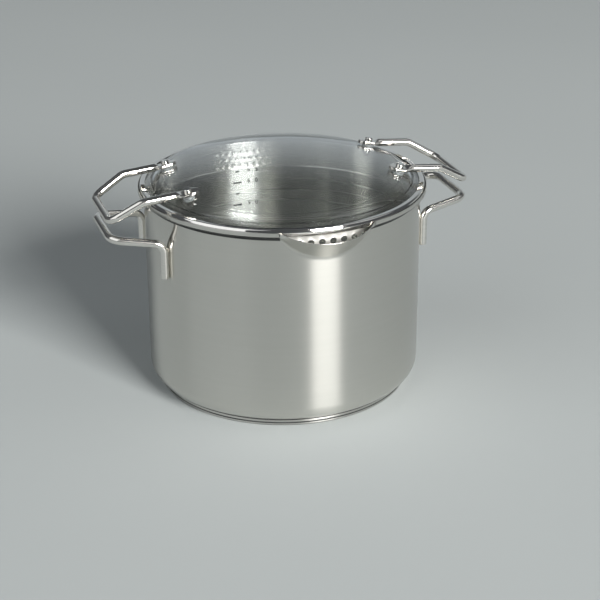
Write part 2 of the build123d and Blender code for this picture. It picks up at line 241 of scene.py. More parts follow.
def side_normals(line):
    """Unit normals to the right of a line of (radius, z) points, one for each point."""
    normals = []
    for i in range(len(line)):
        before, after = line[max(i - 1, 0)], line[min(i + 1, len(line) - 1)]
        along = (after - before).normalized()
        normals.append(Vector((along.y, -along.x)))
    return normals


def spread_angles(zones, coarse):
    """Angles round the axis in radians: fine inside each zone of (middle, half width, step), in degrees."""
    angles = {round(i * coarse, 4) for i in range(int(360 / coarse))}
    for middle, half, step in zones:
        angles = {a for a in angles if abs((a - middle + 180) % 360 - 180) > half - 0.6 * step}
        count = int(2 * half / step)
        angles |= {round((middle - half + i * step) % 360, 4) for i in range(count + 1)}
    return [math.radians(a) for a in sorted(angles)]


def lathe(profile, closed, phis=None):
    """Vertices and faces of a profile of (radius, z), turned round the axis."""
    steps = 288
    phis = phis or [2 * math.pi * i / steps for i in range(steps)]
    rows = [[(r * math.sin(a), -r * math.cos(a), z) for r, z in profile] for a in phis]
    return grid(rows, closed)


def grid(rows, closed):
    """Quads between rows that run all round; closed joins each row's last point to its first."""
    width = len(rows[0])
    verts = [p for row in rows for p in row]
    faces = []
    for i in range(len(rows)):
        a, b = i * width, ((i + 1) % len(rows)) * width
        for j in range(width if closed else width - 1):
            k = (j + 1) % width
            faces.append((a + j, b + j, b + k, a + k))
    return verts, faces


def round_tube(path, count):
    """Rings of points square to a path, on a round rod."""
    tangents = []
    for i in range(len(path)):
        before, after = path[max(i - 1, 0)], path[min(i + 1, len(path) - 1)]
        tangents.append((after - before).normalized())
    angles = [2 * math.pi * k / count for k in range(count)]
    outline = [(ROD / 2 * math.cos(a), ROD / 2 * math.sin(a)) for a in angles]
    across = tangents[0].orthogonal().normalized()
    rings = []
    for centre, along in zip(path, tangents):
        across = (across - along * across.dot(along)).normalized()
        up = along.cross(across)
        rings.append([tuple(centre + across * u + up * v) for u, v in outline])
    return rings


def tube_mesh(rings):
    """A closed skin over a row of rings, with its two ends filled."""
    ring = len(rings[0])
    verts = [p for r in rings for p in r]
    faces = []
    for i in range(len(rings) - 1):
        a, b = i * ring, (i + 1) * ring
        for j in range(ring):
            k = (j + 1) % ring
            faces.append((a + j, a + k, b + k, b + j))
    last = (len(rings) - 1) * ring
    faces.append(tuple(range(ring - 1, -1, -1)))
    faces.append(tuple(range(last, last + ring)))
    return verts, faces


def along_uv(rings):
    """One UV for each point of a rod's rings: U runs along the rod and V round it."""
    ring = len(rings[0])
    middles = [sum((Vector(p) for p in r), Vector()) / ring for r in rings]
    run = [0.0]
    for a, b in zip(middles, middles[1:]):
        run.append(run[-1] + (b - a).length)
    return [(u / run[-1], j / ring) for u in run for j in range(ring)]


# ---------------------------------------- materials
def new_material(name):
    """A material without any nodes yet, with its nodes and links."""
    material = bpy.data.materials.new(name)
    material.use_nodes = True
    nodes = material.node_tree.nodes
    nodes.clear()
    return material, nodes, material.node_tree.links


def to_output(nodes, links, shader):
    """Makes a shader the material's surface."""
    output = nodes.new("ShaderNodeOutputMaterial")
    links.new(shader, output.inputs["Surface"])


def streaks(nodes, links, across, along):
    """Noise drawn out round the pot's axis: fine up and down, long round the wall."""
    coord = nodes.new("ShaderNodeTexCoord")
    mapping = nodes.new("ShaderNodeMapping")
    mapping.inputs["Scale"].default_value = (along, along, across)
    noise = nodes.new("ShaderNodeTexNoise")
    noise.inputs["Scale"].default_value = 1.0
    noise.inputs["Detail"].default_value = 3.0
    links.new(coord.outputs["Object"], mapping.inputs["Vector"])
    links.new(mapping.outputs["Vector"], noise.inputs["Vector"])
    return noise.outputs["Fac"]


def spots(nodes, links, scale, detail=4.0):
    """Noise that is the same in every direction."""
    coord = nodes.new("ShaderNodeTexCoord")
    noise = nodes.new("ShaderNodeTexNoise")
    noise.inputs["Scale"].default_value = scale
    noise.inputs["Detail"].default_value = detail
    links.new(coord.outputs["Object"], noise.inputs["Vector"])
    return noise.outputs["Fac"]


def remap(nodes, links, value, low, high):
    """Noise turned into a number between two ends."""
    node = nodes.new("ShaderNodeMapRange")
    node.inputs["From Min"].default_value = 0.3
    node.inputs["From Max"].default_value = 0.7
    node.inputs["To Min"].default_value = low
    node.inputs["To Max"].default_value = high
    links.new(value, node.inputs["Value"])
    return node.outputs["Result"]


def tint(nodes, links, value, dark, light):
    """Noise turned into a colour between two ends."""
    ramp = nodes.new("ShaderNodeValToRGB")
    ramp.color_ramp.elements[0].position = 0.3
    ramp.color_ramp.elements[1].position = 0.7
    ramp.color_ramp.elements[0].color = (*dark, 1)
    ramp.color_ramp.elements[1].color = (*light, 1)
    links.new(value, ramp.inputs["Fac"])
    return ramp.outputs["Color"]


def metal(nodes, links, colour, roughness):
    """Plain metal whose gloss is the same in every direction."""
    shader = nodes.new("ShaderNodeBsdfPrincipled")
    shader.inputs["Metallic"].default_value = 1.0
    links.new(colour, shader.inputs["Base Color"])
    links.new(roughness, shader.inputs["Roughness"])
    return shader


def groove(nodes, links, shader, rod):
    """Spreads a metal's gloss across grooves round the pot's axis, or round the rod that the UVs follow."""
    shader.inputs["Anisotropic"].default_value = 1.0
    shader.inputs["Anisotropic Rotation"].default_value = 0.0 if rod else 0.25
    tangent = nodes.new("ShaderNodeTangent")
    tangent.direction_type = "UV_MAP" if rod else "RADIAL"
    tangent.axis = "Z"
    links.new(tangent.outputs["Tangent"], shader.inputs["Tangent"])


def brushed(name, light, dark, mirror_roughness, groove_roughness, share, rod=False):
    """Steel polished round its axis: a clear mirror mixed with a share that the grooves spread."""
    material, nodes, links = new_material(name)
    fine = streaks(nodes, links, 420.0, 3.0)
    patches = spots(nodes, links, 14.0)
    mixed = nodes.new("ShaderNodeMix")
    mixed.data_type = "FLOAT"
    mixed.inputs["Factor"].default_value = 0.5
    links.new(fine, mixed.inputs["A"])
    links.new(patches, mixed.inputs["B"])
    colour = tint(nodes, links, mixed.outputs["Result"], dark, light)
    mirror = metal(nodes, links, colour, remap(nodes, links, patches, *mirror_roughness))
    grooves = metal(nodes, links, colour, remap(nodes, links, fine, *groove_roughness))
    groove(nodes, links, grooves, rod)
    mix = nodes.new("ShaderNodeMixShader")
    mix.inputs["Fac"].default_value = share
    links.new(mirror.outputs["BSDF"], mix.inputs[1])
    links.new(grooves.outputs["BSDF"], mix.inputs[2])
    to_output(nodes, links, mix.outputs["Shader"])
    return material


def polished(name, light, dark, roughness):
    """Evenly polished steel with faint wiping marks."""
    material, nodes, links = new_material(name)
    patches = spots(nodes, links, 60.0)
    colour = tint(nodes, links, patches, dark, light)
    shader = metal(nodes, links, colour, remap(nodes, links, patches, *roughness))
    to_output(nodes, links, shader.outputs["BSDF"])
    return material


def clear_glass(name):
    """Solid tempered glass that lets the lamps through to what it covers."""
    material, nodes, links = new_material(name)
    shader = nodes.new("ShaderNodeBsdfPrincipled")
    shader.inputs["Transmission Weight"].default_value = 1.0
    shader.inputs["IOR"].default_value = 1.5
    shader.inputs["Base Color"].default_value = (0.94, 0.96, 0.96, 1)
    roughness = remap(nodes, links, spots(nodes, links, 25.0), 0.0, 0.015)
    links.new(roughness, shader.inputs["Roughness"])
    clear = nodes.new("ShaderNodeBsdfTransparent")
    clear.inputs["Color"].default_value = (0.9, 0.92, 0.92, 1)
    path = nodes.new("ShaderNodeLightPath")
    mix = nodes.new("ShaderNodeMixShader")
    links.new(path.outputs["Is Shadow Ray"], mix.inputs["Fac"])
    links.new(shader.outputs["BSDF"], mix.inputs[1])
    links.new(clear.outputs["BSDF"], mix.inputs[2])
    to_output(nodes, links, mix.outputs["Shader"])
    return material


def soft(name, light, dark, roughness, metallic=0.0):
    """A plain solid colour with a faint mottle."""
    material, nodes, links = new_material(name)
    patches = spots(nodes, links, 300.0)
    shader = nodes.new("ShaderNodeBsdfPrincipled")
    shader.inputs["Metallic"].default_value = metallic
    links.new(tint(nodes, links, patches, dark, light), shader.inputs["Base Color"])
    links.new(remap(nodes, links, patches, *roughness), shader.inputs["Roughness"])
    to_output(nodes, links, shader.outputs["BSDF"])
    return material


WALL_STEEL = brushed(
    "wall_steel", light=(0.67, 0.66, 0.62), dark=(0.65, 0.64, 0.6),
    mirror_roughness=(0.03, 0.06), groove_roughness=(0.278, 0.284), share=0.4,
)
INNER_STEEL = brushed(
    "inner_steel", light=(0.63, 0.63, 0.6), dark=(0.6, 0.6, 0.57),
    mirror_roughness=(0.07, 0.09), groove_roughness=(0.271, 0.274), share=0.72,
)
COLLAR_STEEL = brushed(
    "collar_steel", light=(0.77, 0.76, 0.73), dark=(0.75, 0.74, 0.71),
    mirror_roughness=(0.07, 0.09), groove_roughness=(0.27, 0.274), share=0.6,
)
BASE_STEEL = brushed(
    "base_steel", light=(0.7, 0.69, 0.66), dark=(0.62, 0.61, 0.58),
    mirror_roughness=(0.08, 0.14), groove_roughness=(0.3, 0.4), share=0.5,
)
ROD_STEEL = brushed(
    "rod_steel", light=(0.8, 0.78, 0.74), dark=(0.74, 0.72, 0.68),
    mirror_roughness=(0.015, 0.03), groove_roughness=(0.24, 0.3), share=0.12, rod=True,
)
COLLAR_OUTSIDE = polished("collar_outside", (0.84, 0.83, 0.8), (0.78, 0.77, 0.74), (0.48, 0.56))
BRIGHT_STEEL = polished("bright_steel", (0.86, 0.84, 0.81), (0.81, 0.79, 0.76), (0.03, 0.08))
FASTENER_STEEL = polished("fastener_steel", (0.84, 0.83, 0.8), (0.76, 0.75, 0.72), (0.08, 0.16))
# Painted shade: steel coloured near black for the dark line under the rim and the dark lines round the
# base.
PAINTED_SHADE_STEEL = polished("painted_shade_steel", (0.1, 0.1, 0.1), (0.05, 0.05, 0.05), (0.3, 0.4))
# Painted shade: a dark teal on the flange's top, for the dark look of the glass edge above it.
FLANGE_PAINTED_SHADE = polished("flange_painted_shade", (0.15, 0.19, 0.2), (0.1, 0.13, 0.14), (0.2, 0.3))
GLASS_CLEAR = clear_glass("lid_glass_clear")
SILICONE = soft("silicone", (0.2, 0.21, 0.21), (0.16, 0.17, 0.17), (0.3, 0.45))
ALUMINIUM = soft("aluminium", (0.78, 0.78, 0.8), (0.7, 0.7, 0.72), (0.35, 0.5), 1.0)
ETCHED = soft("etched_mark", (0.03, 0.03, 0.03), (0.02, 0.02, 0.02), (0.5, 0.65))


# ---------------------------------------- pot shell with its spout
def cone_radius(phi, z):
    """Distance from the axis to the far side of the spout's cone, or 0 where it isn't reached."""
    front = POT + SPOUT_LEAN * (z - SPOUT_Z)
    radius = SPOUT_RADIUS + SPOUT_GROWTH * (z - SPOUT_Z)
    centre = front - radius
    side = centre * math.sin(phi)
    if abs(side) >= radius or math.cos(phi) <= 0:
        return 0.0
    return centre * math.cos(phi) + math.sqrt(radius**2 - side**2)


def blended(a, b):
    """The larger of two radii, with the corner between them rounded."""
    gap = max(SPOUT_BLEND - abs(a - b), 0.0)
    return max(a, b) + gap * gap / (4 * SPOUT_BLEND)


def lip_height(phi):
    """Height of the shell's top edge: the rim, or the tilted plane of the lip at the spout."""
    radius = SPOUT_RADIUS + SPOUT_GROWTH * SPOUT_DEPTH
    centre = POT + SPOUT_LEAN * SPOUT_DEPTH - radius
    along = (BAND**2 - radius**2 + centre**2) / (2 * centre)
    slope = LIP_DROP / (POT + LIP_REACH - along)
    low, high = SPOUT_Z, POT_HEIGHT + 20
    for _ in range(40):
        z = (low + high) / 2
        reach = max(cone_radius(phi, z), BAND) * math.cos(phi)
        if z < POT_HEIGHT - slope * (reach - along):
            low = z
        else:
            high = z
    return min(low, POT_HEIGHT)


def shell_profile():
    """Outside of the shell from the middle of its floor to its rim, without the spout."""
    ledge = SEAT_Z - WALL
    corners = [(0, BASE_HEIGHT), (POT, BASE_HEIGHT), (POT, ledge), (BAND, ledge), (BAND, POT_HEIGHT)]
    path = rounded(corners, [CORNER, RIM_BEND, RIM_BEND + WALL], step=7.5)
    wall_cuts = [40.0, 60.0, 80.0, 100.0, 120.0, 135.0, 145.0] + [149.0 + i for i in range(27)]
    out = []
    for a, b in zip(path, path[1:]):
        if abs(a.x - POT) < 0.01 and b.y - a.y > 20:
            out += [(POT, z) for z in wall_cuts if a.y < z < b.y]
            continue
        pieces = 6 if (b - a).length > 8 else 1
        out += [tuple(a + (b - a) * (i / pieces)) for i in range(pieces)]
    out.append((BAND, POT_HEIGHT))
    return sorted(out, key=lambda p: (p[1], p[0]))


def shell_section(profile, phi):
    """Section of the sheet at one angle: up the outside, over the rounded edge and down the inside."""
    squeeze_from = 173.0
    blend_from = SPOUT_Z - 12
    edge = WALL / 2
    squeeze = (lip_height(phi) - edge - squeeze_from) / (POT_HEIGHT - squeeze_from)
    outer = []
    for r, z in profile:
        if z > squeeze_from:
            z = squeeze_from + (z - squeeze_from) * squeeze
        if z > blend_from:
            r = blended(r, cone_radius(phi, z))
        outer.append(Vector((r, z)))
    normals = side_normals(outer)
    normals[0] = Vector((0, -1))
    inner = [p - n * WALL for p, n in zip(outer, normals)]
    out, middle = normals[-1], (outer[-1] + inner[-1]) / 2
    up = Vector((-out.y, out.x))
    turns = [math.radians(degrees) for degrees in (25, 55, 90, 125, 155)]
    lip = [middle + (out * math.cos(a) + up * math.sin(a)) * edge for a in turns]
    return outer + lip + inner[::-1]


def pot_shell():
    """The pot's sheet, with its pouring spout."""
    profile = shell_profile()
    rows = []
    for phi in spread_angles(zones=[(0.0, 24.0, 0.4)], coarse=1.5):
        section = shell_section(profile, phi)
        rows.append([(p.x * math.sin(phi), -p.x * math.cos(phi), p.y) for p in section])
    verts, faces = grid(rows, False)
    surface_materials = [WALL_STEEL, INNER_STEEL, PAINTED_SHADE_STEEL]
    piece = add_object("pot_shell", verts, faces, surface_materials, "pot", ("pot_body",), sharp=0)
    # Faces under the rim's ledge and just below its band get painted shade.
    for polygon in piece.data.polygons:
        polygon.material_index = shell_finish_or_painted_shade(polygon.center / MM, polygon.normal)
    return piece


def shell_finish_or_painted_shade(centre, normal):
    """Which finish a face of the shell has: 0 outside, 1 inside, 2 painted shade in the dark line under the
    rim.
    """
    phi = math.atan2(centre.x, -centre.y)
    inward = normal.x * centre.x + normal.y * centre.y < 0
    pot_floor = abs(normal.z) > 0.9 and BASE_HEIGHT + WALL / 2 < centre.z < 20
    if pot_floor or (inward and centre.z < lip_height(phi) - WALL):
        return 1
    # Painted shade: the ledge's underside and a band SHADOW_BAND high below it are coloured near black,
    # except at the spout.
    under_ledge = normal.z < -0.08 and centre.z > SEAT_Z - 8
    below_band = SEAT_Z - SHADOW_BAND < centre.z < SEAT_Z
    at_spout = abs(math.degrees(phi)) < SPOUT_HALF_DEGREES
    return 2 if (under_ledge or below_band) and not inward and not at_spout else 0


def base_cap():
    """The cap under the pot, with lines of painted shade and painted dark reflection round its side."""
    inner = BASE_RADIUS - BASE_SHEET
    run = inner - (POT - CORNER)
    top = BASE_HEIGHT + CORNER - math.sqrt(CORNER**2 - run**2)
    corners = [
        (0, 0), (BASE_RADIUS, 0), (BASE_RADIUS, top), (inner, top), (inner, BASE_SHEET), (0, BASE_SHEET),
    ]
    path = rounded(corners, [BASE_EDGE, SHEET_EDGE, SHEET_EDGE, BASE_EDGE - BASE_SHEET], support=0.3)
    points = []
    for a, b in zip(path, path[1:]):
        pieces = 5 if (b - a).length > 20 else 1
        points += [tuple(a + (b - a) * (i / pieces)) for i in range(pieces)]
        if min(a.x, b.x) > BASE_RADIUS - 0.001:
            ends = [z for line in BASE_PAINTED_SHADE_LINES for z in line if a.y + 0.05 < z < b.y - 0.05]
            points += [(BASE_RADIUS, z) for z in ends]
    points.append(tuple(path[-1]))
    verts, faces = lathe(points, False)
    surface_materials = [BASE_STEEL, PAINTED_SHADE_STEEL]
    cap = add_object("base_disc", verts, faces, surface_materials, "pot", ("base_cap",), sharp=50)
    # Faces on the side inside these lines get the painted shade steel.
    for polygon in cap.data.polygons:
        x, y, z = polygon.center / MM
        on_side = math.hypot(x, y) > BASE_RADIUS - 1.3
        polygon.material_index = 1 if on_side and any(low < z < high for low, high in BASE_PAINTED_SHADE_LINES) else 0
    return cap


# ---------------------------------------- pot handles
def pot_handles():
    """Two bent rods, welded to the wall by their legs."""
    leg = math.sqrt((POT + ROD / 2 - WELD_DEPTH) ** 2 - POT_LEG_Y**2)
    corners = [
        (leg, -POT_LEG_Y, POT_FOOT_Z), (leg, -POT_LEG_Y, POT_KNEE_Z), (GRIP_X, -POT_GRIP_Y, POT_GRIP_Z),
        (GRIP_X, POT_GRIP_Y, POT_GRIP_Z), (leg, POT_LEG_Y, POT_KNEE_Z), (leg, POT_LEG_Y, POT_FOOT_Z),
    ]
    path = subdivided(rounded(corners, [9.0, 13.0, 13.0, 9.0], step=4.5, support=0.8), 4.0)
    rings = with_rounded_ends(round_tube(path, 40), path)
    rings = [[seated(p) for p in ring] for ring in rings]
    verts, faces = tube_mesh(rings)
    for side, sign in (("right", 1), ("left", -1)):
        points = [(sign * x, y, z) for x, y, z in verts]
        add_object(
            f"pot_rod_{side}", points, faces, [ROD_STEEL], "pot",
            (f"pot_handle_{side}",), sharp=50, uvs=along_uv(rings),
        )


def seated(point):
    """Pushes a point of the rod out to the pot's wall, as its welded face is."""
    x, y, z = point
    reach = math.hypot(x, y)
    if reach >= POT:
        return point
    return (x * POT / reach, y * POT / reach, z)


def with_rounded_ends(rings, path):
    """Adds a small rounding to the cut ends of a rod."""
    foot = rounded_end(rings[0], path[0], (path[0] - path[1]).normalized())
    head = rounded_end(rings[-1], path[-1], (path[-1] - path[-2]).normalized())
    return foot[::-1] + rings[1:-1] + head


def rounded_end(ring, centre, outward, radius=0.6):
    """Rings from just before a rod's cut end to the rounded end itself."""
    out = [[tuple(Vector(p) - outward * radius) for p in ring]]
    for degrees in (30, 60, 90):
        a = math.radians(degrees)
        shrink = (ROD / 2 - radius + radius * math.cos(a)) / (ROD / 2)
        shift = outward * (radius * math.sin(a) - radius)
        out.append([tuple(centre + (Vector(p) - centre) * shrink + shift) for p in ring])
    return out


# ---------------------------------------- lid rim
def lid_rim():
    """The rolled channel round the edge of the glass."""
    outer, inner = RIM_OUTER, RIM_OUTER - RIM_SHEET
    lip, foot, seam = RIM_OUTER - RIM_LIP, RIM_OUTER - RIM_FOOT, RIM_OUTER - 2
    foot_top, lip_under = RIM_FOOT_Z + RIM_SHEET, LID_TOP - RIM_SHEET
    corners = [
        (seam, RIM_FOOT_Z), (outer, RIM_FOOT_Z), (outer, POT_HEIGHT - 0.4), (outer - RIM_TAPER, LID_TOP),
        (lip, LID_TOP), (lip, lip_under), (inner, lip_under), (inner, foot_top),
        (foot, foot_top), (foot, RIM_FOOT_Z), (seam, RIM_FOOT_Z),
    ]
    radii = [0.6, 0.5, 1.4, 0.22, 0.22, 1.0, 0.1, 0.22, 0.22]
    path = rounded(corners, radii, step=11, support=0.25)[:-1]
    verts, faces = lathe(path, True)
    return add_object(
        "lid_ring", verts, faces, [BRIGHT_STEEL], "rim", ("lid_rim",), sharp=0
    )


# ---------------------------------------- lid glass
def crown_z(radius):
    """Height of the top of the glass at a distance from the axis, inside its shoulder."""
    return CROWN_CENTRE + math.sqrt(CROWN_RADIUS**2 - radius**2)


def crown_frame(x, y):
    """Point on top of the glass at (x, y) and the outward normal there."""
    reach = math.hypot(x, y)
    tilt = math.asin(reach / CROWN_RADIUS)
    normal = Vector((math.sin(tilt) * x / reach, math.sin(tilt) * y / reach, math.cos(tilt)))
    return Vector((x, y, crown_z(reach))), normal


def glass_profile():
    """Top face of the glass from its middle to its edge, as (radius, z), fine near the bolts."""
    before = SHOULDER - 20
    corners = [
        (before, crown_z(before)), (SHOULDER, crown_z(SHOULDER)),
        (FLANGE - GLASS_FLAT, GLASS_TOP), (FLANGE, GLASS_TOP),
    ]
    bend = rounded(corners, [18.0, 9.0], step=3, support=0.6)[1:]
    reach = bend[0].x
    fine_from = 95.5
    radii = [r for r in (reach * i / 44 for i in range(44)) if r < fine_from]
    radii += [r for r in (fine_from + 0.5 * i for i in range(30)) if r < reach - 0.2]
    return [Vector((r, crown_z(r))) for r in radii] + bend


def lid_glass():
    """The domed glass, with a rounded edge and a hole at each bolt."""
    upper = glass_profile()
    normals = [-n for n in side_normals(upper)]
    normals[0] = normals[-1] = Vector((0, 1))
    lower = [p - n * GLASS for p, n in zip(upper, normals)]
    edge = edge_arc(upper[-1], -1) + edge_arc(lower[-1], 1)[::-1]
    profile = upper[:-1] + edge + lower[-2::-1]
    bolt_phi = math.degrees(math.atan2(BOLT_X, BOLT_Y))
    zones = [(phi, 4.0, 0.35) for phi in (bolt_phi, 180 - bolt_phi, 180 + bolt_phi, 360 - bolt_phi)]
    verts, faces = lathe(profile, False, spread_angles(zones, coarse=1.5))
    faces = bored(verts, faces, len(upper), len(profile))
    return add_object("glass_dome", verts, faces, [GLASS_CLEAR], "lid", ("lid_glass",), sharp=0)


def edge_arc(corner, inward):
    """The rounded edge at a corner of the glass, from the face to the side. inward is +1 for up."""
    middle_r, middle_z = corner.x - GLASS_EDGE, corner.y + inward * GLASS_EDGE
    turns = [math.radians(degrees) for degrees in (0, 30, 60, 90)]
    return [
        Vector((middle_r + GLASS_EDGE * math.sin(a), middle_z - inward * GLASS_EDGE * math.cos(a)))
        for a in turns
    ]


def bored(verts, faces, count, width):
    """Cuts the bolt holes out of rows of width points, whose first and last count points are the skins."""
    bolts = [(sx * BOLT_X, sy * BOLT_Y) for sx in (-1, 1) for sy in (-1, 1)]

    def bolt_at(index):
        """The bolt whose hole takes in a vertex, judged by the vertex above it on the upper skin."""
        row, place = divmod(index, width)
        upper = place if place < count else width - 1 - place
        if upper >= count:
            return None
        x, y, _ = verts[row * width + upper]
        for bolt in bolts:
            if math.hypot(x - bolt[0], y - bolt[1]) < GLASS_HOLE / 2:
                return bolt
        return None

    kept = [face for face in faces if not all(bolt_at(v) for v in face)]
    edges = [pair for face in kept for pair in zip(face, face[1:] + face[:1])]
    used = set(edges)
    rim = [(a, b) for a, b in edges if (b, a) not in used and bolt_at(a) and bolt_at(b)]
    bolt_of = {v: bolt_at(v) for pair in rim for v in pair}
    for index, bolt in bolt_of.items():
        verts[index] = on_hole(verts[index], bolt)
    for a, b in rim:
        if a % width < count and b % width < count:
            kept.append((b, a, below(a, width), below(b, width)))
    return kept


def below(index, width):
    """The vertex of the lower skin under one of the upper skin, in rows that mirror each other."""
    row, place = divmod(index, width)
    return row * width + width - 1 - place


def on_hole(point, bolt):
    """A point moved square to the bolt's axis onto the circle of its hole."""
    foot, normal = crown_frame(*bolt)
    offset = Vector(point) - foot
    along = offset.dot(normal)
    out = (offset - normal * along).normalized() * (GLASS_HOLE / 2)
    return tuple(foot + out + normal * along)


# ---------------------------------------- strainer collar
def hole_rows(counts, size, pitch, top, step, middle):
    """Middles of rows of strainer holes, as (phi in degrees, z, diameter)."""
    turn = math.degrees(pitch / COLLAR)
    return [
        (middle + (k - (number - 1) / 2) * turn, GLASS_Z - top - row * step, size)
        for row, number in enumerate(counts)
        for k in range(number)
    ]


def collar_holes():
    """Coarse holes at the spout and fine ones opposite."""
    coarse = hole_rows(counts=(8, 7), size=COARSE_HOLE, pitch=9.45, top=9.1, step=8.4, middle=0.0)
    fine = hole_rows(counts=(10, 9, 10), size=FINE_HOLE, pitch=6.0, top=9.3, step=6.4, middle=180.0)
    return coarse + fine


def dimple(size):
    """Width and depth of the pressed edge round a hole."""
    return (0.6, 0.22) if size == COARSE_HOLE else (0.4, 0.08)


def from_hole(u, z, hole):
    """Distance on the flat sheet from (u, z) to the middle of a hole."""
    phi, hole_z, _ = hole
    return math.hypot(u - phi * COLLAR_DEGREE, z - hole_z)


def flat_collar(holes, low, high):
    """The collar's side rolled out flat: points (u, z) and triangles that leave the holes open."""
    steps = 240
    around = [(360 * i / steps - 90) * COLLAR_DEGREE for i in range(steps + 1)]
    levels = [low + (high - low) * i / 6 for i in range(1, 6)]
    points, edges = [], []

    def loop(items):
        first = len(points)
        points.extend(items)
        edges.extend((first + i, first + (i + 1) % len(items)) for i in range(len(items)))

    border = [(u, low) for u in around] + [(around[-1], z) for z in levels]
    border += [(u, high) for u in reversed(around)] + [(around[0], z) for z in reversed(levels)]
    loop(border)
    for phi, z, size in holes:
        count = 28 if size == COARSE_HOLE else 16
        turns = [2 * math.pi * k / count for k in range(count)]
        for radius in (size / 2, size / 2 + dimple(size)[0]):
            loop([(phi * COLLAR_DEGREE + radius * math.cos(a), z + radius * math.sin(a)) for a in turns])
    for u in around[1:-1]:
        for z in levels:
            if all(from_hole(u, z, hole) > hole[2] / 2 + dimple(hole[2])[0] + 0.4 for hole in holes):
                points.append((u, z))
    flat, _, triangles, *_ = delaunay_2d_cdt([Vector(p) for p in points], edges, [], 0, 1e-5)

    def in_hole(triangle):
        u = sum(flat[i].x for i in triangle) / 3
        z = sum(flat[i].y for i in triangle) / 3
        return any(from_hole(u, z, hole) < hole[2] / 2 for hole in holes)

    return flat, [t for t in triangles if not in_hole(t)]


def collar_wall(low, high):
    """The perforated side, with the edge of each hole pressed outward."""
    holes = collar_holes()
    flat, skin = flat_collar(holes, low, high)
    pushes = []
    for p in flat:
        touched = [hole for hole in holes if abs(from_hole(p.x, p.y, hole) - hole[2] / 2) < 0.02]
        pushes.append(max((dimple(hole[2])[1] for hole in touched), default=0.0))
    verts = []
    for side in (COLLAR, COLLAR - COLLAR_SHEET):
        for p, push in zip(flat, pushes):
            phi = p.x / COLLAR
            radius = side + push
            verts.append((radius * math.sin(phi), -radius * math.cos(phi), p.y))
    number = len(flat)
    faces = [tuple(t) for t in skin] + [tuple(number + i for i in reversed(t)) for t in skin]
    ends = {round(min(p.x for p in flat), 3), round(max(p.x for p in flat), 3)}
    directed = {(a, b) for t in skin for a, b in zip(t, t[1:] + t[:1])}
    for a, b in directed:
        at_joint = round(flat[a].x, 3) in ends and round(flat[b].x, 3) in ends
        if (b, a) not in directed and not at_joint:
            faces.append((b, a, number + a, number + b))
    surface_materials = [COLLAR_STEEL, COLLAR_OUTSIDE]
    wall = add_object("collar_wall", verts, faces, surface_materials, "lid")
    for polygon in wall.data.polygons:
        centre, normal = polygon.center, polygon.normal
        outward = normal.x * centre.x + normal.y * centre.y > 0.5 * math.hypot(centre.x, centre.y)
        polygon.material_index = 1 if outward else 0


def collar_hem():
    """The rolled lower edge."""
    turns = [2 * math.pi * i / 20 for i in range(20)]
    middle_r, middle_z = COLLAR - COLLAR_HEM, COLLAR_LOW + COLLAR_HEM
    ring = [(middle_r + COLLAR_HEM * math.cos(a), middle_z + COLLAR_HEM * math.sin(a)) for a in turns]
    verts, faces = lathe(ring, True)
    add_object("collar_hem", verts, faces, [COLLAR_STEEL], "lid", sharp=0)


def collar_flange(low):
    """The bend at the top of the side and the flange that the glass lies on, its top coloured dark teal as
    painted shade.
    """
    inner = COLLAR - COLLAR_SHEET
    corners = [
        (COLLAR, low), (COLLAR, FLANGE_Z), (FLANGE, FLANGE_Z),
        (FLANGE, GLASS_Z), (inner, GLASS_Z), (inner, low),
    ]
    radii = [COLLAR_BEND - COLLAR_SHEET, SHEET_EDGE, SHEET_EDGE, COLLAR_BEND]
    path = rounded(corners, radii, step=11, support=0.2)
    verts, faces = lathe(path, True)
    flange = add_object(
        "collar_flange", verts, faces, [COLLAR_STEEL, FLANGE_PAINTED_SHADE], "lid",
        ("strainer_collar",), sharp=50,
    )
    # The flange's top outside the side gets the painted shade.
    for polygon in flange.data.polygons:
        reach = math.hypot(polygon.center.x, polygon.center.y) / MM
        polygon.material_index = 1 if polygon.normal.z > 0.9 and reach > COLLAR else 0


def strainer_collar():
    """The perforated ring that hangs from the lid."""
    top = FLANGE_Z - COLLAR_BEND
    collar_wall(COLLAR_LOW + COLLAR_HEM, top)
    collar_hem()
    collar_flange(top - 0.02)


# ---------------------------------------- lid handles
def bolt_frame(sx, sy):
    """Point on the glass at a bolt, outward normal and the direction out along the handle."""
    origin, normal = crown_frame(sx * BOLT_X, sy * BOLT_Y)
    along = (Vector((sx, 0, 0)) - normal * (sx * normal.x)).normalized()
    return origin, normal, along


def rod_start(bolt):
    """Where the round rod begins, past the neck of its flattened end."""
    origin, normal, along = bolt
    return origin + along * (TAB_TAIL + NECK) + normal * (PAD + TAB / 2 + NECK_RISE)


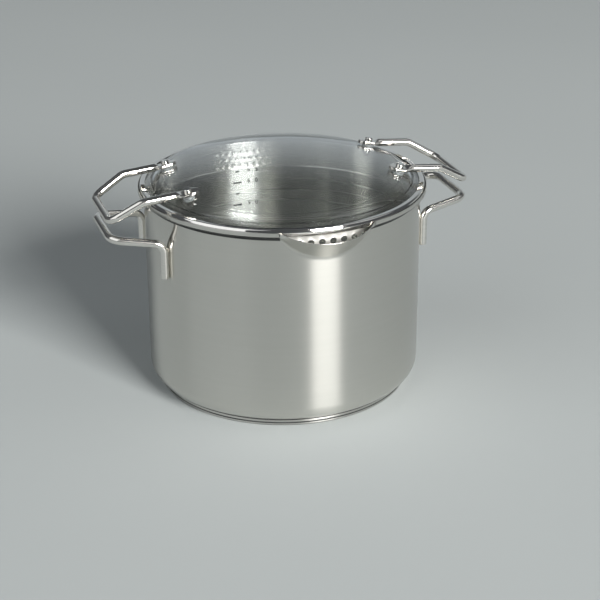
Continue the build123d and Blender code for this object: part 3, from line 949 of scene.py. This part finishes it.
def flat_end(bolt, rod_next):
    """Stations from the rounded nose of a flattened end to the round rod.

    Each is (centre, upward normal, direction, outline), with the outline as (half width, half
    height, squareness).
    """
    origin, normal, along = bolt
    middle = origin + normal * (PAD + TAB / 2)
    half, thin, round_rod = TAB_WIDTH / 2, TAB / 2, ROD / 2
    neck_from = TAB_TAIL - 1.0
    stations = []
    for degrees in (4, 12, 22, 33, 45, 58, 72, 90):
        a = math.radians(degrees)
        x = -TAB_NOSE + half * (1 - math.cos(a))
        stations.append((middle + along * x, normal, along, (half * math.sin(a), thin, TAB_SQUARENESS)))
    for x in (-2.0, 0.0, 2.0, 4.0, neck_from):
        stations.append((middle + along * x, normal, along, (half, thin, TAB_SQUARENESS)))
    direction = (rod_next - rod_start(bolt)).normalized()
    steps = 8
    for i in range(1, steps + 1):
        t = i / steps
        ease = t * t * (3 - 2 * t)
        centre = middle + along * (neck_from + (NECK + 1.0) * t) + normal * (NECK_RISE * ease)
        squareness = TAB_SQUARENESS + (2.0 - TAB_SQUARENESS) * min(1.0, ease * 1.3)
        outline = (half + (round_rod - half) * ease, thin + (round_rod - thin) * ease, squareness)
        stations.append((centre, normal, along.lerp(direction, ease).normalized(), outline))
    return stations


def squircle(angle, half_w, half_h, power):
    """A point of an outline between an ellipse, at power 2, and a rounded rectangle."""
    c, s = math.cos(angle), math.sin(angle)
    u = math.copysign(abs(c) ** (2 / power), c) * half_w
    v = math.copysign(abs(s) ** (2 / power), s) * half_h
    return u, v


def lid_handle(side):
    """One rod with a flattened, rounded end at each bolt."""
    front, rear = bolt_frame(side, -1), bolt_frame(side, 1)
    first, last = rod_start(front), rod_start(rear)
    knee_x, knee_y, knee_z = side * LID_KNEE_X, abs(last.y), last.z - LID_KNEE_DROP
    grip_x = side * GRIP_X
    corners = [
        first, (knee_x, -knee_y, knee_z), (grip_x, -LID_GRIP_Y, LID_GRIP_Z),
        (grip_x, LID_GRIP_Y, LID_GRIP_Z), (knee_x, knee_y, knee_z), last,
    ]
    path = subdivided(rounded(corners, [12.0, 10.0, 10.0, 12.0], step=4.5, support=0.8), 4.0)
    stations = flat_end(front, path[1])
    for before, centre, after in zip(path, path[1:], path[2:]):
        stations.append((centre, None, (after - before).normalized(), (ROD / 2, ROD / 2, 2.0)))
    for centre, normal, along, outline in reversed(flat_end(rear, path[-2])):
        stations.append((centre, normal, -along, outline))
    rings = untwisted(station_rings(stations))
    verts, faces = tube_mesh(rings)
    name = "right" if side > 0 else "left"
    return add_object(
        f"lid_rod_{name}", verts, faces, [ROD_STEEL], "lid",
        (f"lid_handle_{name}",), sharp=50, uvs=along_uv(rings),
    )


def station_rings(stations):
    """Rings of points at each station; a station without a normal carries on from the one before."""
    count = 44
    angles = [2 * math.pi * (k + 0.5) / count for k in range(count)]
    up = stations[0][1]
    rings = []
    for centre, normal, along, outline in stations:
        if normal is not None:
            up = normal
        up = (up - along * up.dot(along)).normalized()
        across = along.cross(up).normalized()
        points = [squircle(a, *outline) for a in angles]
        rings.append([tuple(centre + across * u + up * v) for u, v in points])
    return rings


def untwisted(rings):
    """The rings with each one's numbering shifted to line up with the ring before it."""
    count = len(rings[0])
    out = [rings[0]]
    for ring in rings[1:]:
        best = min(range(count), key=lambda shift: misfit(out[-1], ring, shift))
        out.append(ring[best:] + ring[:best])
    return out


def misfit(before, ring, shift):
    """How badly a shifted ring lines up with the one before, judged at every fourth point."""
    count = len(ring)
    gaps = (Vector(before[k]) - Vector(ring[(k + shift) % count]) for k in range(0, count, 4))
    return sum(gap.length_squared for gap in gaps)


# ---------------------------------------- litre scale on the inner wall
def on_wall(u, z, lift):
    """A point of the inner wall, u millimetres to the right of the scale's edge as seen from the spout."""
    phi = math.radians(SCALE_PHI) - u / POT_INNER
    r = POT_INNER - lift
    return (r * math.sin(phi), -r * math.cos(phi), z)


def scale_patch(first, u0, u1, z0, z1):
    """Vertices and faces of a thin plate bent to the wall, numbered from first."""
    steps = 6
    verts, faces = [], []
    for lift in (ETCH, ETCH_ROOT):
        for i in range(steps + 1):
            u = u0 + (u1 - u0) * i / steps
            verts += [on_wall(u, z0, lift), on_wall(u, z1, lift)]
    n = 2 * (steps + 1)
    for i in range(steps):
        a, b = first + 2 * i, first + 2 * i + 2
        faces += [(a, b, b + 1, a + 1), (n + a, n + a + 1, n + b + 1, n + b)]
        faces += [(a, n + a, n + b, b), (a + 1, b + 1, n + b + 1, n + a + 1)]
    end = first + 2 * steps
    faces += [(first, first + 1, n + first + 1, n + first), (end, n + end, n + end + 1, end + 1)]
    return verts, faces


def litre_z(half_litres):
    """Height of a mark."""
    return LITRE_ZERO + LITRE * half_litres / 2


def litre_marks():
    """Long marks for whole litres and short ones for half litres, from 1 to 7 litres."""
    verts, faces = [], []
    for half_litres in range(2, 15):
        z = litre_z(half_litres)
        start, end, half = HALF_MARK if half_litres % 2 else FULL_MARK
        more_verts, more_faces = scale_patch(len(verts), start, end, z - half, z + half)
        verts += more_verts
        faces += more_faces
    return add_object("litre_marks", verts, faces, [ETCHED], "pot", sharp=30)


def litre_numbers():
    """Numbers beside the whole litres and the 6.5 litre mark."""
    verts, faces = [], []
    for half_litres in (2, 4, 6, 8, 10, 12, 13, 14):
        mesh = number_mesh(f"{half_litres / 2:.1f}")
        first = len(verts)
        for v in mesh.vertices:
            lift = ETCH if v.co.z > 0 else ETCH_ROOT
            z = litre_z(half_litres) + NUMBER_LIFT + v.co.y
            verts.append(on_wall(NUMBER_START + v.co.x, z, lift))
        faces += [tuple(first + i for i in p.vertices) for p in mesh.polygons]
        bpy.data.meshes.remove(mesh)
    return add_object("litre_numbers", verts, faces, [ETCHED], "pot", sharp=30)


def number_mesh(text):
    """A flat mesh of a number, in millimetres."""
    curve = bpy.data.curves.new("number", "FONT")
    curve.body = text
    curve.size = NUMBER_SIZE
    curve.offset = 0.12
    curve.space_character = 1.5
    curve.align_x, curve.align_y = "LEFT", "CENTER"
    curve.extrude = 0.1
    number = bpy.data.objects.new("number", curve)
    bpy.context.scene.collection.objects.link(number)
    mesh = bpy.data.meshes.new_from_object(number)
    bpy.data.objects.remove(number)
    bpy.data.curves.remove(curve)
    return mesh


# ---------------------------------------- carried-over CAD nodes
def dress(name, material):
    """Gives a CAD node a material and smooth shading."""
    node = frame["nodes"][name]
    node.data.materials.clear()
    node.data.materials.append(material)
    node.data.shade_smooth()
    node.data.set_sharp_from_angle(angle=math.radians(35))


def dress_cad():
    """The core, the fasteners and the gaskets keep their CAD shapes."""
    dress("base_core", ALUMINIUM)
    for name in ("lid_screws", "lid_washers", "lid_nuts"):
        dress(name, FASTENER_STEEL)
    for level in ("upper", "lower"):
        for end in ("front", "rear"):
            for side in ("left", "right"):
                dress(f"{level}_gasket_{end}_{side}", SILICONE)


# ---------------------------------------- camera, floor and light
CAMERA_LENS = 95.045
CAMERA_PLACE = (-0.39956, -1.24066, 0.6484)
CAMERA_RIGHT = (0.94760029, -0.31942715, -0.00447024)
CAMERA_UP = (0.13379513, 0.38412699, 0.91353452)
POT_MIDDLE = (0, 0, 0.1)


def camera():
    """The photograph's viewpoint."""
    data = bpy.data.cameras.new("camera")
    data.sensor_width = 36.0
    data.lens = CAMERA_LENS
    data.clip_start, data.clip_end = 0.05, 50.0
    cam = bpy.data.objects.new("camera", data)
    bpy.context.scene.collection.objects.link(cam)
    right, up = Vector(CAMERA_RIGHT), Vector(CAMERA_UP)
    turn = Matrix((right, up, right.cross(up))).transposed().to_4x4()
    cam.matrix_world = Matrix.Translation(CAMERA_PLACE) @ turn
    bpy.context.scene.camera = cam


def floor():
    """A wide plain floor under the pot."""
    half, steps = 9.0, 12
    row = steps + 1
    marks = [half * (i / steps - 0.5) * 2 for i in range(row)]
    corners = [j * row + i for j in range(steps) for i in range(steps)]
    mesh = bpy.data.meshes.new("floor")
    mesh.from_pydata(
        [(x, y, 0) for y in marks for x in marks], [], [(c, c + 1, c + row + 1, c + row) for c in corners]
    )
    plane = bpy.data.objects.new("floor", mesh)
    bpy.context.scene.collection.objects.link(plane)
    mesh.materials.append(floor_paint())


def floor_paint():
    """A plain matt grey."""
    material, nodes, links = new_material("floor")
    shader = nodes.new("ShaderNodeBsdfPrincipled")
    patches = spots(nodes, links, 1.2, 2.0)
    colour = tint(nodes, links, patches, (0.46, 0.49, 0.49), (0.48, 0.51, 0.51))
    links.new(colour, shader.inputs["Base Color"])
    shader.inputs["Roughness"].default_value = 0.8
    shader.inputs["Specular IOR Level"].default_value = 0.1
    to_output(nodes, links, shader.outputs["BSDF"])
    return material


def smooth_step(nodes, links, value, start, end, low, high):
    """Turns a value from start to end into one that runs smoothly from low to high."""
    node = nodes.new("ShaderNodeMapRange")
    node.interpolation_type = "SMOOTHSTEP"
    node.inputs["From Min"].default_value = start
    node.inputs["From Max"].default_value = end
    node.inputs["To Min"].default_value = low
    node.inputs["To Max"].default_value = high
    links.new(value, node.inputs["Value"])
    return node.outputs["Result"]


def world():
    """A dark studio with a lit backdrop low down behind the pot, and a plain one for the camera."""
    made = bpy.data.worlds.new("studio")
    bpy.context.scene.world = made
    made.use_nodes = True
    nodes, links = made.node_tree.nodes, made.node_tree.links
    nodes.clear()
    coord = nodes.new("ShaderNodeTexCoord")
    split = nodes.new("ShaderNodeSeparateXYZ")
    links.new(coord.outputs["Generated"], split.inputs["Vector"])
    low_end, high_end = math.sin(math.radians(14)), math.sin(math.radians(40))
    low_down = smooth_step(nodes, links, split.outputs["Z"], low_end, high_end, 1.0, 0.0)
    backdrop_phi = math.radians(155)
    towards = nodes.new("ShaderNodeVectorMath")
    towards.operation = "DOT_PRODUCT"
    towards.inputs[1].default_value = (math.sin(backdrop_phi), -math.cos(backdrop_phi), 0)
    links.new(coord.outputs["Generated"], towards.inputs[0])
    behind = smooth_step(nodes, links, towards.outputs["Value"], 0.7, 0.9, 0.0, 1.0)
    share = nodes.new("ShaderNodeMath")
    share.operation = "MULTIPLY"
    links.new(low_down, share.inputs[0])
    links.new(behind, share.inputs[1])
    ramp = nodes.new("ShaderNodeValToRGB")
    ramp.color_ramp.elements[0].color = (0.07, 0.075, 0.08, 1)
    ramp.color_ramp.elements[1].color = (0.44, 0.48, 0.5, 1)
    links.new(share.outputs["Value"], ramp.inputs["Fac"])
    lit = nodes.new("ShaderNodeBackground")
    links.new(ramp.outputs["Color"], lit.inputs["Color"])
    seen = nodes.new("ShaderNodeBackground")
    seen.inputs["Color"].default_value = (0.4, 0.43, 0.44, 1)
    path = nodes.new("ShaderNodeLightPath")
    mix = nodes.new("ShaderNodeMixShader")
    output = nodes.new("ShaderNodeOutputWorld")
    links.new(path.outputs["Is Camera Ray"], mix.inputs["Fac"])
    links.new(lit.outputs["Background"], mix.inputs[1])
    links.new(seen.outputs["Background"], mix.inputs[2])
    links.new(mix.outputs["Shader"], output.inputs["Surface"])


def from_middle(phi, elevation, distance):
    """A place in metres seen from the middle of the pot, by its phi and height angle in degrees."""
    a, e = math.radians(phi), math.radians(elevation)
    level = distance * math.cos(e)
    return Vector(POT_MIDDLE) + Vector((level * math.sin(a), -level * math.cos(a), distance * math.sin(e)))


def softbox(name, phi, elevation, distance, size, radiance, colour):
    """A rectangular lamp that faces the pot, with its brightness given as seen."""
    data = bpy.data.lights.new(name, "AREA")
    data.shape = "RECTANGLE"
    data.size, data.size_y = size
    data.energy = radiance * math.pi * size[0] * size[1]
    data.color = colour
    lamp = bpy.data.objects.new(name, data)
    bpy.context.scene.collection.objects.link(lamp)
    lamp.location = from_middle(phi, elevation, distance)
    lamp.rotation_mode = "QUATERNION"
    lamp.rotation_quaternion = (lamp.location - Vector(POT_MIDDLE)).to_track_quat("Z", "Y")


def lights():
    """One bright lamp in front and a dim one at each side."""
    warm, cool = (1.0, 0.99, 0.97), (0.97, 0.99, 1.0)
    softbox("key", 17.0, 23.5, distance=11.0, size=(4.2, 4.0), radiance=37.0, colour=warm)
    softbox("left", -73.0, 36.0, distance=6.0, size=(6.1, 6.0), radiance=1.05, colour=cool)
    softbox("right", 78.0, 52.0, distance=6.0, size=(3.4, 3.2), radiance=0.6, colour=cool)


bpy.context.scene.view_settings.view_transform = "Standard"
camera()
world()
floor()
lights()
pot_shell()
base_cap()
pot_handles()
lid_rim()
lid_glass()
strainer_collar()
lid_handle(1)
lid_handle(-1)
litre_marks()
litre_numbers()
dress_cad()
